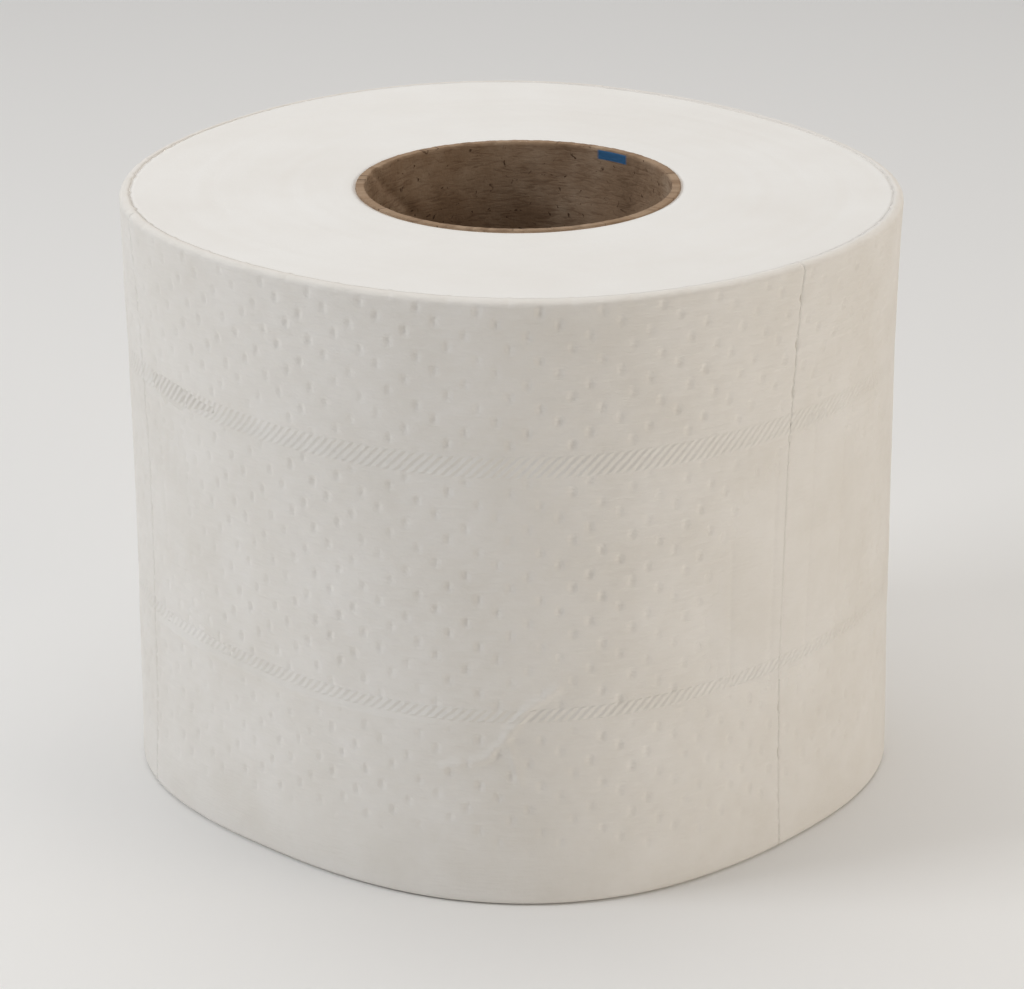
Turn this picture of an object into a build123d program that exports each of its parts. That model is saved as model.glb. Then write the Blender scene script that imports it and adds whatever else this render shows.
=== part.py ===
"""A toilet paper roll, standing on its end: tissue wound on a board core.

Units are millimetres and +Z is up. The origin is on the roll's axis, in the
plane that the roll stands on. The tissue and its core are wound as one long
log and sawn across together, so both have the same length and end flush.
"""

from build123d import *
import os

# Driving dimensions
SHEET_WIDTH = 90.0  # the sheet's width, which is the height of the standing roll
ROLL_DIAMETER = 115.0  # over the last turn, at the loose end of the sheet
CORE_DIAMETER = 48.0  # outside of the board tube
CORE_WALL = 1.2  # two plies of board, glued together
TURN_THICKNESS = 0.3  # one turn of soft embossed tissue
TAIL_ANGLE = 62.0  # where the loose end lies, in degrees from +X about +Z
EDGE_ROUND = 1.4  # the last turns sag a little, which rounds both outer edges

# Working values
QUARTERS = 4
EDGE_STANDOFF = EDGE_ROUND / 7  # the rounded envelope stands off the last turn
SAW_OVERRUN = 5.0  # the winding is drawn longer than the roll, then sawn off


def last_turn():
    """The winding's outline: a spiral of four tangent quarter arcs.

    Each arc is a quarter of a turn's thickness smaller than the one before.
    After a whole turn the outline has come in by one turn's thickness, and a
    short step leads back out: the cut end of the sheet.
    """
    inset = TURN_THICKNESS / QUARTERS
    centres = [(1, -1), (1, 1), (-1, 1), (-1, -1)]
    arcs = []
    for turn, (side_x, side_y) in enumerate(centres):
        centre = (side_x * inset / 2, side_y * inset / 2)
        radius = ROLL_DIAMETER / 2 - turn * inset
        arcs.append(CenterArc(centre, radius, turn * 90, 90))
    cut_end = Line(arcs[-1] @ 1, arcs[0] @ 0)
    return make_face(arcs + [cut_end])


def soft_envelope():
    """A turned barrel with round outer edges, just clear of the last turn."""
    barrel = Cylinder(
        ROLL_DIAMETER / 2 + EDGE_STANDOFF,
        SHEET_WIDTH,
        align=(Align.CENTER, Align.CENTER, Align.MIN),
    )
    outer_edges = barrel.edges().filter_by(GeomType.CIRCLE)
    return fillet(outer_edges, EDGE_ROUND)


def tissue_roll():
    """All the turns as one solid, down to the core that they are wound on."""
    log = extrude(last_turn(), SHEET_WIDTH + 2 * SAW_OVERRUN)
    winding = Rot(Z=TAIL_ANGLE) * Pos(Z=-SAW_OVERRUN) * log
    core_space = Cylinder(
        CORE_DIAMETER / 2,
        SHEET_WIDTH,
        align=(Align.CENTER, Align.CENTER, Align.MIN),
    )
    return (soft_envelope() & winding) - core_space


def cardboard_core():
    """The board tube, with a plain bore that slides over a holder's rod."""
    ring = Circle(CORE_DIAMETER / 2) - Circle(CORE_DIAMETER / 2 - CORE_WALL)
    return extrude(ring, SHEET_WIDTH)


os.makedirs("parts", exist_ok=True)
export_step(tissue_roll(), "parts/tissue_roll.step")
export_step(cardboard_core(), "parts/cardboard_core.step")
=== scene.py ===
"""A toilet paper roll standing on its end: embossed tissue wound on a board core.

Lengths are in metres. The roll's axis is the Z axis and its lower end is at z = 0.
"""

import math

import bmesh
import bpy
import numpy as np
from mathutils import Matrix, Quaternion, Vector


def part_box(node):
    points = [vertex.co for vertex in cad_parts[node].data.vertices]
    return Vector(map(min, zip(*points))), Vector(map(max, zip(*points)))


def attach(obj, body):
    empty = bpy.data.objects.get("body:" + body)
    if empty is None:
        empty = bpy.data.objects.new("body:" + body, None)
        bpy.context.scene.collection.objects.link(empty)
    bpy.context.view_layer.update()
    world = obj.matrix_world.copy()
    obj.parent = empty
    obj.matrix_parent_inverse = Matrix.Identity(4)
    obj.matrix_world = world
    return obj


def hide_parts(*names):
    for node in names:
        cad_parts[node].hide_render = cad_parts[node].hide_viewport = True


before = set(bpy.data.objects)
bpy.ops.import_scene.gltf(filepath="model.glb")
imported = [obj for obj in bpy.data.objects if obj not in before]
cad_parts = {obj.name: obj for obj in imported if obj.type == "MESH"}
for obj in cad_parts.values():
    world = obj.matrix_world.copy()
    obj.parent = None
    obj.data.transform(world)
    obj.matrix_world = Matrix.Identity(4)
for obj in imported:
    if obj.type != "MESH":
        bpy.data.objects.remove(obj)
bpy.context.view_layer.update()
MM = 0.001

# The roll's main sizes come from the construction model.
roll_low, roll_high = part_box("tissue_roll")
core_low, core_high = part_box("cardboard_core")
HEIGHT = roll_high.z
ROLL_RADIUS = (roll_high.y - roll_low.y) / 2
CORE_RADIUS = (core_high.x - core_low.x) / 2
CORE_WALL = 1.2 * MM

# The winding was squeezed in its pack: it is oval, squarish and off the core's centre.
HEART = Vector((-1.1 * MM, 0.5 * MM, 0.0))
BASE_TAPER = 0.0195
WAIST = 0.0113
# Shares of the radius at the top, the middle and the base, for 2, 3 and 4 lobes.
LOBES = {
    2: ((-0.0069, -0.0217), (-0.0033, -0.0141), (-0.0166, -0.0194)),
    3: ((0.0000, -0.0125), (0.0021, 0.0185), (0.0030, 0.0026)),
    4: ((0.0143, 0.0020), (0.0214, -0.0002), (0.0323, 0.0068)),
}

# The outer turn is three perforated sheets, and the loose end is at the back.
SHEETS = 3
TAIL_ANGLE = math.radians(75)
TURN = 0.3 * MM
SHEET_BACKING = 0.6 * MM
EDGE_ROUND = 1.1 * MM
EDGE_DROP = 0.8 * EDGE_ROUND  # how far the surface comes in at its upper and lower edges
SLIT_DEPTH = 0.12 * MM

# The embossing: rows of short upright dashes with a level bar between each two.
PERIODS_PER_SHEET = 14
PERIODS = SHEETS * PERIODS_PER_SHEET
ROW_PITCH = 1.75 * MM
ROW_SHIFTS = np.array([0.0, 0.504, 0.204, 0.717])
PERIOD = 2 * math.pi * ROLL_RADIUS / PERIODS
DASH_HALF_WIDTH = 0.42 * MM
DASH_HALF_HEIGHT = 0.74 * MM
DASH_DEPTH = 0.30 * MM
BAR_HALF_LENGTH = 2.1 * MM
BAR_HALF_THICKNESS = 0.52 * MM
BAR_DEPTH = 0.10 * MM
PLAIN_HEM = 6.5 * MM
HEM_FADE = 4.5 * MM

# The two lines where the plies are pressed together.
UPPER_BOND = 65.9 * MM
LOWER_BOND = 28.2 * MM
TICK_SPACING = 0.987 * MM
UV_SIZE = 0.1  # metres to one unit of the UV maps

COLUMNS_PER_PERIOD = 24
SHEET_ROWS = 250


def linear(hex_colour):
    """An sRGB hex colour as linear red, green, blue and alpha."""
    parts = [int(hex_colour[i : i + 2], 16) / 255 for i in (1, 3, 5)]
    dark = [part / 12.92 for part in parts]
    bright = [((part + 0.055) / 1.055) ** 2.4 for part in parts]
    return [b if part > 0.04045 else d for part, d, b in zip(parts, dark, bright)] + [1.0]


def node(tree, kind, settings=None, **inputs):
    """Adds a shader node; an input is a value or another node's output."""
    made = tree.nodes.new(kind)
    for name, value in (settings or {}).items():
        setattr(made, name, value)
    for name, value in inputs.items():
        key = int(name[1:]) if name[0] == "i" and name[1:].isdigit() else name.replace("_", " ")
        if isinstance(value, bpy.types.NodeSocket):
            tree.links.new(value, made.inputs[key])
        else:
            made.inputs[key].default_value = value
    return made


def ramp(tree, factor, stops):
    """A colour ramp from (place, hex colour) stops."""
    made = node(tree, "ShaderNodeValToRGB", Fac=factor)
    bar = made.color_ramp.elements
    while len(bar) < len(stops):
        bar.new(0.5)
    for element, (place, colour) in zip(bar, stops):
        element.position = place
        element.color = linear(colour)
    return made.outputs["Color"]


def smooth_step(value, low, high):
    """0 below low, 1 above high, and an easy curve between."""
    share = np.clip((value - low) / (high - low), 0, 1)
    return share * share * (3 - 2 * share)


def winding_radius(angle, height):
    """The outline of the wound tissue round its own centre, with no embossing."""
    rise = np.clip(height / HEIGHT, 0, 1)
    top = rise * (2 * rise - 1)
    middle = 4 * rise * (1 - rise)
    base = (1 - rise) * (1 - 2 * rise)
    lobes = 0
    for count, shares in LOBES.items():
        along = sum(w * s[0] for w, s in zip((top, middle, base), shares))
        aside = sum(w * s[1] for w, s in zip((top, middle, base), shares))
        lobes = lobes + along * np.cos(count * angle) + aside * np.sin(count * angle)
    body = 1 - BASE_TAPER * (1 - rise) - WAIST * (1 - (2 * rise - 1) ** 2)
    return ROLL_RADIUS * body * (1 + lobes)


def unevenness(angle, height):
    """Soft swells of the last turns, a tenth or two of a millimetre."""
    up = height / HEIGHT
    swell = np.sin(3 * angle + 5 * up) * 0.06 + np.sin(9 * angle + 2.1 * np.sin(7 * up)) * 0.035
    swell = swell + np.sin(5 * angle - 11 * up + 1.3) * 0.05
    swell = swell + np.sin(17 * angle + 23 * up) * np.sin(6 * up + 2 * angle) * 0.03
    return swell * MM


def bond_strength(angle):
    """How hard the bond lines show: most on the front left, faint elsewhere."""
    degrees = np.degrees(angle)
    degrees = (degrees + 180) % 360 - 180
    front_left = smooth_step(degrees, -168, -156) * (1 - smooth_step(degrees, -112, -97))
    return 0.12 + 0.88 * front_left


def embossing(angle, height):
    """Depth of the pressed pattern below the surface."""
    along = (angle - TAIL_ANGLE) / (2 * math.pi) * PERIODS
    row = np.floor(height / ROW_PITCH)
    shift = ROW_SHIFTS[row.astype(int) % len(ROW_SHIFTS)]
    across = ((along - shift + 0.5) % 1 - 0.5) * PERIOD
    up = (height / ROW_PITCH - row - 0.5) * ROW_PITCH
    dash = np.exp(-((across / DASH_HALF_WIDTH) ** 2) - (up / DASH_HALF_HEIGHT) ** 4)
    opposite = PERIOD / 2 - np.abs(across)
    bar = np.exp(-((opposite / BAR_HALF_LENGTH) ** 6) - (up / BAR_HALF_THICKNESS) ** 2)
    up_mm = height / MM
    pressed = 0.85 + 0.25 * np.sin(7 * angle + up_mm / 6) * np.sin(11 * angle - up_mm / 9)
    hem_height = height + 1.2 * MM * np.sin(4 * angle)
    hem = smooth_step(hem_height, PLAIN_HEM, PLAIN_HEM + HEM_FADE)
    near_bond = smooth_step(np.abs(height - UPPER_BOND), 1.4 * MM, 2.4 * MM)
    near_bond = near_bond * smooth_step(np.abs(height - LOWER_BOND), 0.9 * MM, 1.8 * MM)
    return (DASH_DEPTH * dash + BAR_DEPTH * bar) * pressed * hem * near_bond


def bond_lines(angle, height):
    """The ply-bond lines: a wide groove above and a narrow ledge below."""
    strength = bond_strength(angle)
    groove = 0.50 * MM * np.exp(-((height - UPPER_BOND) / (1.7 * MM)) ** 2)
    ledge = 0.30 * MM * np.exp(-((height - LOWER_BOND - 0.5 * MM) / (1.1 * MM)) ** 2)
    lip = 0.22 * MM * np.exp(-((height - LOWER_BOND + 1.0 * MM) / (0.6 * MM)) ** 2)
    return (groove + ledge - lip) * strength


# Creases: (angle in degrees, height in mm) along each, and how many mm it stands proud.
CREASES = [
    ([(-99.6, 21.0), (-93.8, 22.5), (-90.5, 26.4), (-88.0, 30.3), (-84.0, 33.0)], 0.34),
    ([(-91.0, 26.4), (-90.0, 22.5), (-89.0, 18.7)], 0.20),
    ([(-138.6, 79.4), (-132.0, 81.8), (-124.6, 81.8)], 0.16),
]
CREASE_HALF_WIDTH_MM = 0.65


def creases(angle, height):
    """The few folds in the last turn, as soft ridges."""
    x = (np.degrees(angle) + 180) % 360 - 180
    millimetres_per_degree = ROLL_RADIUS / MM * math.pi / 180
    raised = np.zeros_like(angle)
    for points, proud in CREASES:
        ridge = np.zeros_like(angle)
        for (a0, z0), (a1, z1) in zip(points, points[1:]):
            run = ((a1 - a0) * millimetres_per_degree, z1 - z0)
            px = (x - a0) * millimetres_per_degree
            pz = height / MM - z0
            share = np.clip((px * run[0] + pz * run[1]) / (run[0] ** 2 + run[1] ** 2), 0, 1)
            gap = np.hypot(px - share * run[0], pz - share * run[1])
            ridge = np.maximum(ridge, np.exp(-((gap / CREASE_HALF_WIDTH_MM) ** 2)))
        raised = raised + ridge * proud * MM
    return raised


def outer_surface(angle, height):
    """Radius of the embossed outer turn at each place."""
    relief = unevenness(angle, height) - embossing(angle, height)
    relief = relief - bond_lines(angle, height) + creases(angle, height)
    wound = (angle - TAIL_ANGLE) / (2 * math.pi)
    from_edge = np.minimum(height, HEIGHT - height)
    inside = np.clip(1 - from_edge / EDGE_ROUND, 0, 1)
    rounding = EDGE_DROP * (1 - np.sqrt(1 - inside**2))
    return winding_radius(angle, height) + relief - wound * TURN - rounding


def grid_of(columns, rows):
    """A flat bmesh grid with its columns and rows as 0 to 1 shares of each vertex."""
    mesh = bmesh.new()
    bmesh.ops.create_grid(mesh, x_segments=columns, y_segments=rows, size=1)
    mesh.verts.ensure_lookup_table()
    flat = np.array([v.co[:2] for v in mesh.verts])
    return mesh, (flat[:, 0] + 1) / 2, (flat[:, 1] + 1) / 2


def move_to(mesh, radius, angle, height, centre=HEART):
    """Puts each vertex at a radius, an angle and a height round a centre."""
    x = centre.x + radius * np.cos(angle)
    y = centre.y + radius * np.sin(angle)
    for vertex, place in zip(mesh.verts, np.stack([x, y, height], 1).tolist()):
        vertex.co = place


def plan_uv(mesh, along, height):
    """A UV map of the surface laid flat."""
    layer = mesh.loops.layers.uv.new("sheet_plan")
    flat = (np.stack([along, height], 1) / UV_SIZE).tolist()
    for face in mesh.faces:
        for loop in face.loops:
            if loop.vert.index < len(flat):
                loop[layer].uv = flat[loop.vert.index]


def piece(name, mesh, material, node_name):
    """Makes the object, smooth, with its normals outwards, riding on the one body."""
    bmesh.ops.recalc_face_normals(mesh, faces=mesh.faces)
    for face in mesh.faces:
        face.smooth = True
    data = bpy.data.meshes.new(name)
    mesh.to_mesh(data)
    mesh.free()
    data.materials.append(material)
    made = bpy.data.objects.new(name, data)
    bpy.context.scene.collection.objects.link(made)
    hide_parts(node_name)
    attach(made, "root")
    return made


def is_ring_edge(edge):
    """True for an edge that runs round the roll and not in towards its axis."""
    a, b = (v.co - HEART for v in edge.verts)
    return abs(a.xy.length - b.xy.length) < 0.25 * MM


def outer_sheet(number, material):
    """One perforated sheet of the last turn: embossed outside, plain inside, closed."""
    columns = PERIODS_PER_SHEET * COLUMNS_PER_PERIOD
    mesh, across, rise = grid_of(columns, SHEET_ROWS)
    angle = TAIL_ANGLE + (number + across) * 2 * math.pi / SHEETS
    height = rise * HEIGHT
    radius = outer_surface(angle, height)
    end_gap = np.minimum(across, 1 - across) * columns
    slit = (end_gap < 0.5) & (np.sin(height / MM * 2.6) > -0.75)
    radius = radius - slit * SLIT_DEPTH
    move_to(mesh, radius, angle, height)
    mesh.verts.index_update()
    plan_uv(mesh, angle * ROLL_RADIUS, height)
    # both ends are folded in, joined behind, and closed at the perforations
    inner_edges = []
    for level in (0, HEIGHT):
        end = [e for e in mesh.edges if all(abs(v.co.z - level) < 1e-6 for v in e.verts)]
        folded = bmesh.ops.extrude_edge_only(mesh, edges=end)["geom"]
        for vertex in [g for g in folded if isinstance(g, bmesh.types.BMVert)]:
            outward = Vector((vertex.co.x - HEART.x, vertex.co.y - HEART.y, 0))
            vertex.co -= outward.normalized() * SHEET_BACKING
        inner_edges += [g for g in folded if isinstance(g, bmesh.types.BMEdge) and g.is_boundary]
    bmesh.ops.bridge_loops(mesh, edges=[e for e in inner_edges if is_ring_edge(e)])
    bmesh.ops.holes_fill(mesh, edges=[e for e in mesh.edges if e.is_boundary])
    return piece(f"outer_sheet_{number + 1}", mesh, material, "tissue_roll")


def wound_turns(material):
    """The turns under the last one, with both end faces and the space for the core."""
    columns = 360
    bore_rows, face_rings, wall_rows = 4, 44, 6
    mesh, across, share = grid_of(columns, bore_rows + face_rings + wall_rows + face_rings)
    step = share * (bore_rows + 2 * face_rings + wall_rows)
    angle = across * 2 * math.pi
    up_bore = np.clip(step / bore_rows, 0, 1)
    out_top = np.clip((step - bore_rows) / face_rings, 0, 1)
    down_wall = np.clip((step - bore_rows - face_rings) / wall_rows, 0, 1)
    in_base = np.clip((step - bore_rows - face_rings - wall_rows) / face_rings, 0, 1)
    height = HEIGHT * (up_bore - down_wall)
    wound = ((angle - TAIL_ANGLE) / (2 * math.pi)) % 1
    outer = winding_radius(angle, height) - wound * TURN - SHEET_BACKING - EDGE_DROP
    reach = out_top - in_base
    bore = CORE_RADIUS + 0.02 * MM
    x = bore * np.cos(angle) * (1 - reach) + (HEART.x + outer * np.cos(angle)) * reach
    y = bore * np.sin(angle) * (1 - reach) + (HEART.y + outer * np.sin(angle)) * reach
    on_face = smooth_step(reach, 0.0, 0.08)
    ripple = np.sin(reach * 38 + 2 * np.sin(angle)) * 0.035 + np.sin(reach * 71 + angle * 3) * 0.02
    ripple = ripple + np.sin(3 * angle + 9 * reach) * 0.05
    inner_lip = np.exp(-reach / 0.03) * 0.25
    top_side = np.where(height > HEIGHT / 2, 1.0, -1.0)
    height = height - top_side * (0.12 + inner_lip - ripple * on_face) * MM
    for vertex, place in zip(mesh.verts, np.stack([x, y, height], 1).tolist()):
        vertex.co = place
    bmesh.ops.remove_doubles(mesh, verts=mesh.verts, dist=1e-6)
    return piece("wound_turns", mesh, material, "tissue_roll")


# The core's inner ply is a strip wound on a slant, which leaves one thin open seam.
SEAM_RISE = 126 * MM
SEAM_START = math.radians(160.8)
SEAM_HALF_HEIGHT = 1.05 * MM
SEAM_DEPTH = 0.35 * MM
CORE_OVAL = 0.08 * MM
CORE_OVAL_ANGLE = math.radians(112)
PUSHED_IN_ANGLE = 320  # degrees round the core
PUSHED_IN_HALF_ANGLE = 12


def seam_gap(angle, height):
    """Height above or below the nearest turn of the slanting seam."""
    turns = (angle - SEAM_START) / (2 * math.pi) + (HEIGHT - height) / SEAM_RISE
    return ((turns + 0.5) % 1 - 0.5) * SEAM_RISE


def core_tube(material):
    """The board tube: a rough sawn rim at each end and the seam of its inner ply."""
    columns, bore_rows, wall_rows, rim_rows = 420, 150, 6, 4
    total = bore_rows + wall_rows + 2 * rim_rows
    mesh, across, share = grid_of(columns, total)
    step = share * total
    angle = across * 2 * math.pi
    up = np.clip(step / bore_rows, 0, 1)
    over = np.clip((step - bore_rows) / rim_rows, 0, 1)
    down = np.clip((step - bore_rows - rim_rows) / wall_rows, 0, 1)
    under = np.clip((step - bore_rows - rim_rows - wall_rows) / rim_rows, 0, 1)
    height = HEIGHT * (up - down)
    through = over - under
    fray = np.sin(angle * 37) * 0.03 + np.sin(angle * 83 + 1) * 0.03 + np.sin(angle * 151) * 0.02
    from_push = (np.degrees(angle) - PUSHED_IN_ANGLE) / PUSHED_IN_HALF_ANGLE
    sag = 0.6 * np.exp(-(from_push**2))
    depth = np.minimum(height, HEIGHT - height)
    near_rim = np.exp(-depth / (1.2 * MM))
    inner = CORE_RADIUS - CORE_WALL + CORE_OVAL * np.cos(2 * (angle - CORE_OVAL_ANGLE))
    seam = SEAM_DEPTH * np.exp(-((seam_gap(angle, height) / SEAM_HALF_HEIGHT) ** 2))
    inner = inner + seam + (fray * 0.5 - sag * 0.6) * near_rim * MM
    radius = inner + (CORE_RADIUS - inner) * through
    wavy = (fray - 0.06 - sag * 0.5) * MM * np.where(height > HEIGHT / 2, 1, -1)
    height = height + np.where(depth < 0.05 * MM, wavy * 0.6, 0)
    move_to(mesh, radius, angle, height, centre=Vector((0, 0, 0)))
    mesh.verts.index_update()
    plan_uv(mesh, across * 2 * math.pi * CORE_RADIUS, height)
    bmesh.ops.remove_doubles(mesh, verts=mesh.verts, dist=1e-6)
    return piece("core_tube", mesh, material, "cardboard_core")


def new_material(name):
    """An empty node material with its Principled shader."""
    made = bpy.data.materials.new(name)
    made.use_nodes = True
    return made, made.node_tree, made.node_tree.nodes["Principled BSDF"]


def tissue_colour(tree, place):
    """Bleached pulp: near white, with a barely warmer and greyer cloudiness."""
    cloud = node(tree, "ShaderNodeTexNoise", Vector=place, Scale=90.0, Detail=4.0, Roughness=0.6)
    return ramp(tree, cloud.outputs["Fac"], [(0.3, "#EAE5DD"), (0.7, "#F1EDE7")])


def embossed_tissue():
    """Creped, embossed tissue: dead matt, soft at every edge, with a fibrous nap."""
    made, tree, shader = new_material("embossed_tissue")
    place = node(tree, "ShaderNodeTexCoord").outputs
    tree.links.new(tissue_colour(tree, place["Object"]), shader.inputs["Base Color"])
    shader.inputs["Roughness"].default_value = 0.95
    shader.inputs["Specular IOR Level"].default_value = 0.2
    shader.inputs["Sheen Weight"].default_value = 0.08
    shader.inputs["Sheen Roughness"].default_value = 0.6
    # Pulp fibres are about 0.03 mm wide; they are drawn ten times coarser to show.
    nap = node(tree, "ShaderNodeTexNoise", Vector=place["Object"], Scale=2600.0, Detail=3.0)
    crepe_place = node(tree, "ShaderNodeMapping", Vector=place["UV"], Scale=(30.0, 260.0, 1.0))
    crepe = node(tree, "ShaderNodeTexNoise", Vector=crepe_place.outputs[0], Scale=1.0, Detail=3.0)
    nap_bump = node(tree, "ShaderNodeBump", Strength=0.25, Distance=0.00012, Height=nap.outputs["Fac"])
    crepe_bump = node(
        tree, "ShaderNodeBump", Strength=0.35, Distance=0.00025,
        Height=crepe.outputs["Fac"], Normal=nap_bump.outputs[0],
    )
    # The knurled wheels that bond the plies leave slanting ticks about a millimetre apart.
    tick_place = node(
        tree, "ShaderNodeMapping", Vector=place["UV"], Rotation=(0, 0, math.radians(45)),
    )
    ticks = node(
        tree, "ShaderNodeTexWave", {"wave_profile": "SIN"}, Vector=tick_place.outputs[0],
        Scale=2 * math.pi / 20 * UV_SIZE / TICK_SPACING, Distortion=0.6, Detail=1.0,
    )
    height = node(tree, "ShaderNodeSeparateXYZ", Vector=place["UV"]).outputs["Y"]
    masks = []
    for middle, half in ((UPPER_BOND, 1.3 * MM), (LOWER_BOND + 0.9 * MM, 0.8 * MM)):
        off = node(tree, "ShaderNodeMath", {"operation": "SUBTRACT"}, i0=height, i1=middle / UV_SIZE)
        off = node(tree, "ShaderNodeMath", {"operation": "ABSOLUTE"}, i0=off.outputs[0])
        mask = node(
            tree, "ShaderNodeMapRange", Value=off.outputs[0],
            From_Min=half / UV_SIZE, From_Max=half / UV_SIZE * 1.3, To_Min=1.0, To_Max=0.0,
        )
        masks.append(mask.outputs[0])
    mask = node(tree, "ShaderNodeMath", {"operation": "MAXIMUM"}, i0=masks[0], i1=masks[1])
    tick_height = node(
        tree, "ShaderNodeMath", {"operation": "MULTIPLY"},
        i0=ticks.outputs["Fac"], i1=mask.outputs[0],
    )
    bump = node(
        tree, "ShaderNodeBump", Strength=0.6, Distance=0.00018,
        Height=tick_height.outputs[0], Normal=crepe_bump.outputs[0],
    )
    tree.links.new(bump.outputs[0], shader.inputs["Normal"])
    return made


def sawn_tissue():
    """The sawn ends of the turns: soft white, with the turns as faint fine rings."""
    made, tree, shader = new_material("sawn_tissue_end")
    place = node(tree, "ShaderNodeTexCoord").outputs["Object"]
    cloud = node(tree, "ShaderNodeTexNoise", Vector=place, Scale=60.0, Detail=3.0)
    colour = ramp(tree, cloud.outputs["Fac"], [(0.3, "#F1EEE9"), (0.7, "#F5F3EF")])
    tree.links.new(colour, shader.inputs["Base Color"])
    shader.inputs["Roughness"].default_value = 0.95
    shader.inputs["Specular IOR Level"].default_value = 0.2
    # The turns are 0.3 mm apart; the rings are drawn 0.6 mm apart so that they show.
    rings = node(
        tree, "ShaderNodeTexWave", {"wave_type": "RINGS", "rings_direction": "Z"}, Vector=place,
        Scale=1 / 0.0006 / 20, Distortion=3.0, Detail=3.0, Detail_Scale=2.0,
    )
    lint = node(tree, "ShaderNodeTexNoise", Vector=place, Scale=1500.0, Detail=3.0)
    first = node(tree, "ShaderNodeBump", Strength=0.16, Distance=0.0002, Height=rings.outputs["Fac"])
    bump = node(
        tree, "ShaderNodeBump", Strength=0.25, Distance=0.00015,
        Height=lint.outputs["Fac"], Normal=first.outputs[0],
    )
    tree.links.new(bump.outputs[0], shader.inputs["Normal"])
    return made


INK_ANGLE = 51  # degrees round the core, towards the back
INK_HALF_ANGLE = 7.0
INK_TOP = 0.3 * MM
INK_TALL = 1.4 * MM


def core_board():
    """Recycled grey board: brown and mottled, matt, with long fibres and dark flecks."""
    made, tree, shader = new_material("recycled_core_board")
    place = node(tree, "ShaderNodeTexCoord").outputs
    plan = place["UV"]
    cloud = node(tree, "ShaderNodeTexNoise", Vector=plan, Scale=9.0, Detail=6.0, Roughness=0.65)
    base = ramp(
        tree, cloud.outputs["Fac"],
        [(0.28, "#7F6750"), (0.45, "#9A8067"), (0.6, "#AB937B"), (0.75, "#BCA891")],
    )
    slant = node(tree, "ShaderNodeMapping", Vector=plan, Rotation=(0, 0, 0.7), Scale=(18, 95, 1))
    fibre = node(
        tree, "ShaderNodeTexNoise", Vector=slant.outputs[0], Scale=1.4, Detail=4.0, Distortion=1.6,
    )
    fibres = ramp(tree, fibre.outputs["Fac"], [(0.35, "#8F7860"), (0.5, "#FFFFFF"), (0.68, "#FFFFFF")])
    mixed = node(
        tree, "ShaderNodeMix", {"data_type": "RGBA", "blend_type": "MULTIPLY"},
        i0=0.35, i6=base, i7=fibres,
    ).outputs[2]
    fleck = node(tree, "ShaderNodeTexNoise", Vector=plan, Scale=75.0, Detail=2.0, Distortion=0.8)
    flecks = node(tree, "ShaderNodeMapRange", Value=fleck.outputs["Fac"], From_Min=0.66, From_Max=0.72)
    colour = node(
        tree, "ShaderNodeMix", {"data_type": "RGBA"},
        i0=flecks.outputs[0], i6=mixed, i7=linear("#5B4634"),
    ).outputs[2]
    split = node(tree, "ShaderNodeSeparateXYZ", Vector=plan).outputs
    ink_at = math.radians(INK_ANGLE) * CORE_RADIUS / UV_SIZE
    ink_half = math.radians(INK_HALF_ANGLE) * CORE_RADIUS / UV_SIZE
    side = node(tree, "ShaderNodeMath", {"operation": "SUBTRACT"}, i0=split["X"], i1=ink_at)
    side = node(tree, "ShaderNodeMath", {"operation": "ABSOLUTE"}, i0=side.outputs[0])
    side = node(
        tree, "ShaderNodeMapRange", Value=side.outputs[0],
        From_Min=ink_half * 0.9, From_Max=ink_half * 1.05, To_Min=1.0, To_Max=0.0,
    )
    ink_middle = (HEIGHT - INK_TOP - INK_TALL / 2) / UV_SIZE
    level = node(tree, "ShaderNodeMath", {"operation": "SUBTRACT"}, i0=split["Y"], i1=ink_middle)
    level = node(tree, "ShaderNodeMath", {"operation": "ABSOLUTE"}, i0=level.outputs[0])
    level = node(
        tree, "ShaderNodeMapRange", Value=level.outputs[0],
        From_Min=INK_TALL / 0.22, From_Max=INK_TALL / 0.18, To_Min=1.0, To_Max=0.0,
    )
    ink = node(tree, "ShaderNodeMath", {"operation": "MULTIPLY"}, i0=side.outputs[0], i1=level.outputs[0])
    inked = node(
        tree, "ShaderNodeMix", {"data_type": "RGBA"},
        i0=ink.outputs[0], i6=colour, i7=linear("#3A6A95"),
    ).outputs[2]
    tree.links.new(inked, shader.inputs["Base Color"])
    shader.inputs["Roughness"].default_value = 0.9
    shader.inputs["Specular IOR Level"].default_value = 0.25
    rough = node(tree, "ShaderNodeTexNoise", Vector=plan, Scale=160.0, Detail=5.0)
    first = node(tree, "ShaderNodeBump", Strength=0.4, Distance=0.0002, Height=rough.outputs["Fac"])
    bump = node(
        tree, "ShaderNodeBump", Strength=0.4, Distance=0.0002,
        Height=fibre.outputs["Fac"], Normal=first.outputs[0],
    )
    tree.links.new(bump.outputs[0], shader.inputs["Normal"])
    return made


def seen_directly(tree):
    """1 for rays from the camera and through gloss or glass, and 0 for the light's own."""
    path = node(tree, "ShaderNodeLightPath").outputs
    seen = node(
        tree, "ShaderNodeMath", {"operation": "MAXIMUM"},
        i0=path["Is Camera Ray"], i1=path["Is Glossy Ray"],
    )
    seen = node(
        tree, "ShaderNodeMath", {"operation": "MAXIMUM"},
        i0=seen.outputs[0], i1=path["Is Transmission Ray"],
    )
    return seen.outputs[0]


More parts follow.
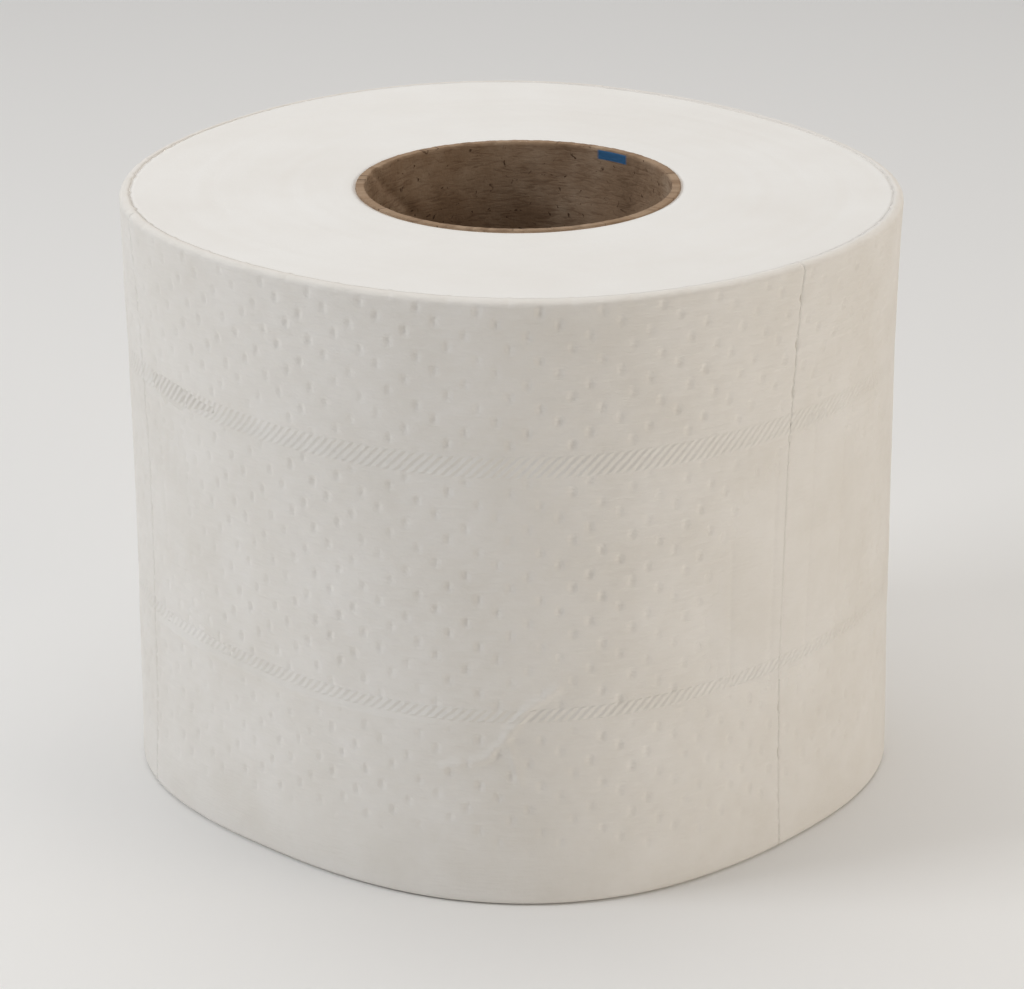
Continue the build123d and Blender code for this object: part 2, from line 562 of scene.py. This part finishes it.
def pale_surroundings():
    """The world: a soft fill on the roll, and plain white behind it."""
    world = bpy.data.worlds.new("pale_surroundings")
    bpy.context.scene.world = world
    world.use_nodes = True
    tree = world.node_tree
    tree.nodes.clear()
    fill = node(tree, "ShaderNodeBackground", Color=linear("#F4F6FA"), Strength=0.22)
    white = node(tree, "ShaderNodeBackground", Color=(1, 1, 1, 1), Strength=1.0)
    seen = seen_directly(tree)
    mixed = node(tree, "ShaderNodeMixShader", i0=seen, i1=fill.outputs[0], i2=white.outputs[0])
    node(tree, "ShaderNodeOutputWorld", Surface=mixed.outputs[0])


def pale_floor():
    """A wide plain floor under the roll."""
    made, tree, shader = new_material("pale_floor")
    shader.inputs["Base Color"].default_value = linear("#F2F1EF")
    shader.inputs["Roughness"].default_value = 0.9
    mesh = bmesh.new()
    bmesh.ops.create_grid(mesh, x_segments=1, y_segments=1, size=3.0)
    data = bpy.data.meshes.new("floor")
    mesh.to_mesh(data)
    mesh.free()
    data.materials.append(made)
    floor = bpy.data.objects.new("floor", data)
    bpy.context.scene.collection.objects.link(floor)


def soft_box(name, place, target, width, height, watts, colour):
    """A rectangular soft light that faces the target."""
    data = bpy.data.lights.new(name, "AREA")
    data.shape = "RECTANGLE"
    data.size = width
    data.size_y = height
    data.energy = watts
    data.color = linear(colour)[:3]
    made = bpy.data.objects.new(name, data)
    made.location = place
    made.rotation_euler = (Vector(target) - Vector(place)).to_track_quat("-Z", "Y").to_euler()
    bpy.context.scene.collection.objects.link(made)


def studio_light():
    """A cool soft box from the upper left, a warm one from the right, and one above."""
    middle = (0, 0, 0.045)
    soft_box("left_light", (-0.75, -0.18, 0.50), middle, 0.35, 0.35, 2.8, "#F3F6FA")
    soft_box("right_light", (0.75, -0.35, 0.22), middle, 0.6, 0.6, 2.4, "#FFF3E2")
    soft_box("top_light", (0.0, 0.15, 0.95), middle, 0.8, 0.8, 4.4, "#FFFCF8")


# The camera stands in front of the roll and a little above it.
CAMERA_ELEVATION = math.radians(19.96)
CAMERA_DISTANCE = 12.454 * 57.5 * MM
CAMERA_AIM_HEIGHT = 41.0 * MM
CAMERA_ROLL = math.radians(-0.23)
CAMERA_LENS = 166.4
CAMERA_SENSOR = 36.0


def camera():
    """A long lens on the roll's centre."""
    data = bpy.data.cameras.new("camera")
    data.lens = CAMERA_LENS
    data.sensor_width = CAMERA_SENSOR
    data.clip_start = 0.05
    data.clip_end = 20
    made = bpy.data.objects.new("camera", data)
    back = Vector((0, -math.cos(CAMERA_ELEVATION), math.sin(CAMERA_ELEVATION)))
    made.location = Vector((HEART.x, HEART.y, CAMERA_AIM_HEIGHT)) + back * CAMERA_DISTANCE
    made.rotation_mode = "QUATERNION"
    aim = (-back).to_track_quat("-Z", "Y")
    made.rotation_quaternion = aim @ Quaternion((0, 0, 1), CAMERA_ROLL)
    bpy.context.scene.collection.objects.link(made)
    bpy.context.scene.camera = made


camera()
studio_light()
pale_surroundings()
pale_floor()
sheet_material = embossed_tissue()
for number in range(SHEETS):
    outer_sheet(number, sheet_material)
wound_turns(sawn_tissue())
core_tube(core_board())

bpy.context.scene.view_settings.view_transform = "Standard"
